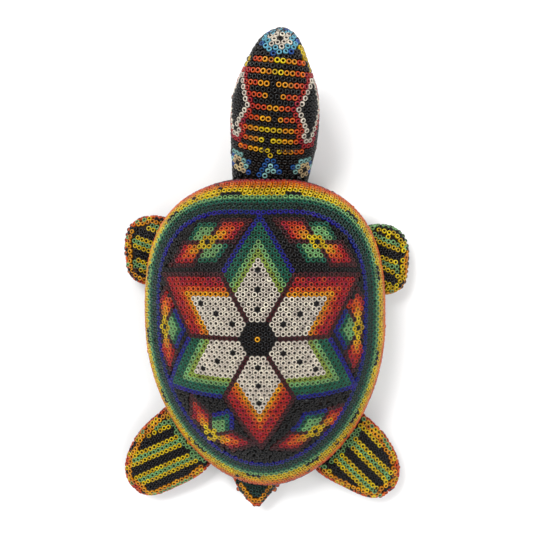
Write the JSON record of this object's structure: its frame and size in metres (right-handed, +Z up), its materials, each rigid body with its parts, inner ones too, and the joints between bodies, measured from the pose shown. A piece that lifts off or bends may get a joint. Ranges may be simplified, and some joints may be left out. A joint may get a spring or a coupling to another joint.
{
  "type": "beaded turtle figure",
  "caption": "Tabletop turtle carved in wood, coated in wax and covered with pressed-in glass seed beads that form a star on its domed shell.",
  "frame": {"origin": "on the resting plane, straight under the middle of the star on the shell", "axes": "+Z up, +Y from the tail towards the head, +X to the right of the picture of the figure seen from above with its head up"},
  "size_m": [0.1225, 0.1977, 0.0502],
  "materials": {
    "carved_wood": "raw carved",
    "peg_wood": "raw turned",
    "wax": "soft beeswax and resin",
    "beads_white": "opaque glossy glass seed beads",
    "beads_black": "opaque glossy glass seed beads",
    "beads_blue": "opaque glossy glass seed beads",
    "beads_green": "opaque glossy glass seed beads",
    "beads_yellow": "opaque glossy glass seed beads",
    "beads_amber": "opaque glossy glass seed beads",
    "beads_red": "opaque glossy glass seed beads",
    "beads_orange": "opaque glossy glass seed beads"
  },
  "bodies": {
    "root": {"belly_beads": "beads_black", "belly_side_beads": "beads_green", "belly_wax": "wax", "blue_ring_beads": "beads_blue", "body_core": "carved_wood", "crown_beads": "beads_amber", "edge_beads": "beads_orange", "flipper_pegs": "peg_wood", "front_left_flipper_core": "carved_wood", "front_left_flipper_top_beads": "beads_yellow", "front_left_flipper_underside_beads": "beads_green", "front_left_flipper_wax": "wax", "front_left_flower_beads": "beads_orange", "front_right_flipper_core": "carved_wood", "front_right_flipper_top_beads": "beads_yellow", "front_right_flipper_underside_beads": "beads_green", "front_right_flipper_wax": "wax", "front_right_flower_beads": "beads_orange", "ground_beads": "beads_black", "head_core": "carved_wood", "head_wax": "wax", "hind_left_flipper_core": "carved_wood", "hind_left_flipper_top_beads": "beads_yellow", "hind_left_flipper_underside_beads": "beads_green", "hind_left_flipper_wax": "wax", "hind_right_flipper_core": "carved_wood", "hind_right_flipper_top_beads": "beads_yellow", "hind_right_flipper_underside_beads": "beads_green", "hind_right_flipper_wax": "wax", "left_cheek_beads": "beads_black", "left_flower_beads": "beads_orange", "neck_beads": "beads_black", "neck_peg": "peg_wood", "rear_left_flower_beads": "beads_orange", "rear_right_flower_beads": "beads_orange", "right_cheek_beads": "beads_black", "right_flower_beads": "beads_orange", "rim_amber_beads": "beads_amber", "rim_green_beads": "beads_green", "rim_red_beads": "beads_red", "rim_yellow_beads": "beads_yellow", "shell_wax": "wax", "snout_beads": "beads_white", "star_centre_beads": "beads_black", "star_front_left_petal_beads": "beads_white", "star_front_petal_beads": "beads_white", "star_front_right_petal_beads": "beads_white", "star_rear_left_petal_beads": "beads_white", "star_rear_petal_beads": "beads_white", "star_rear_right_petal_beads": "beads_white", "tail_core": "carved_wood", "tail_peg": "peg_wood", "tail_top_beads": "beads_green", "tail_underside_beads": "beads_green", "tail_wax": "wax", "throat_beads": "beads_black"}
  },
  "joints": []
}
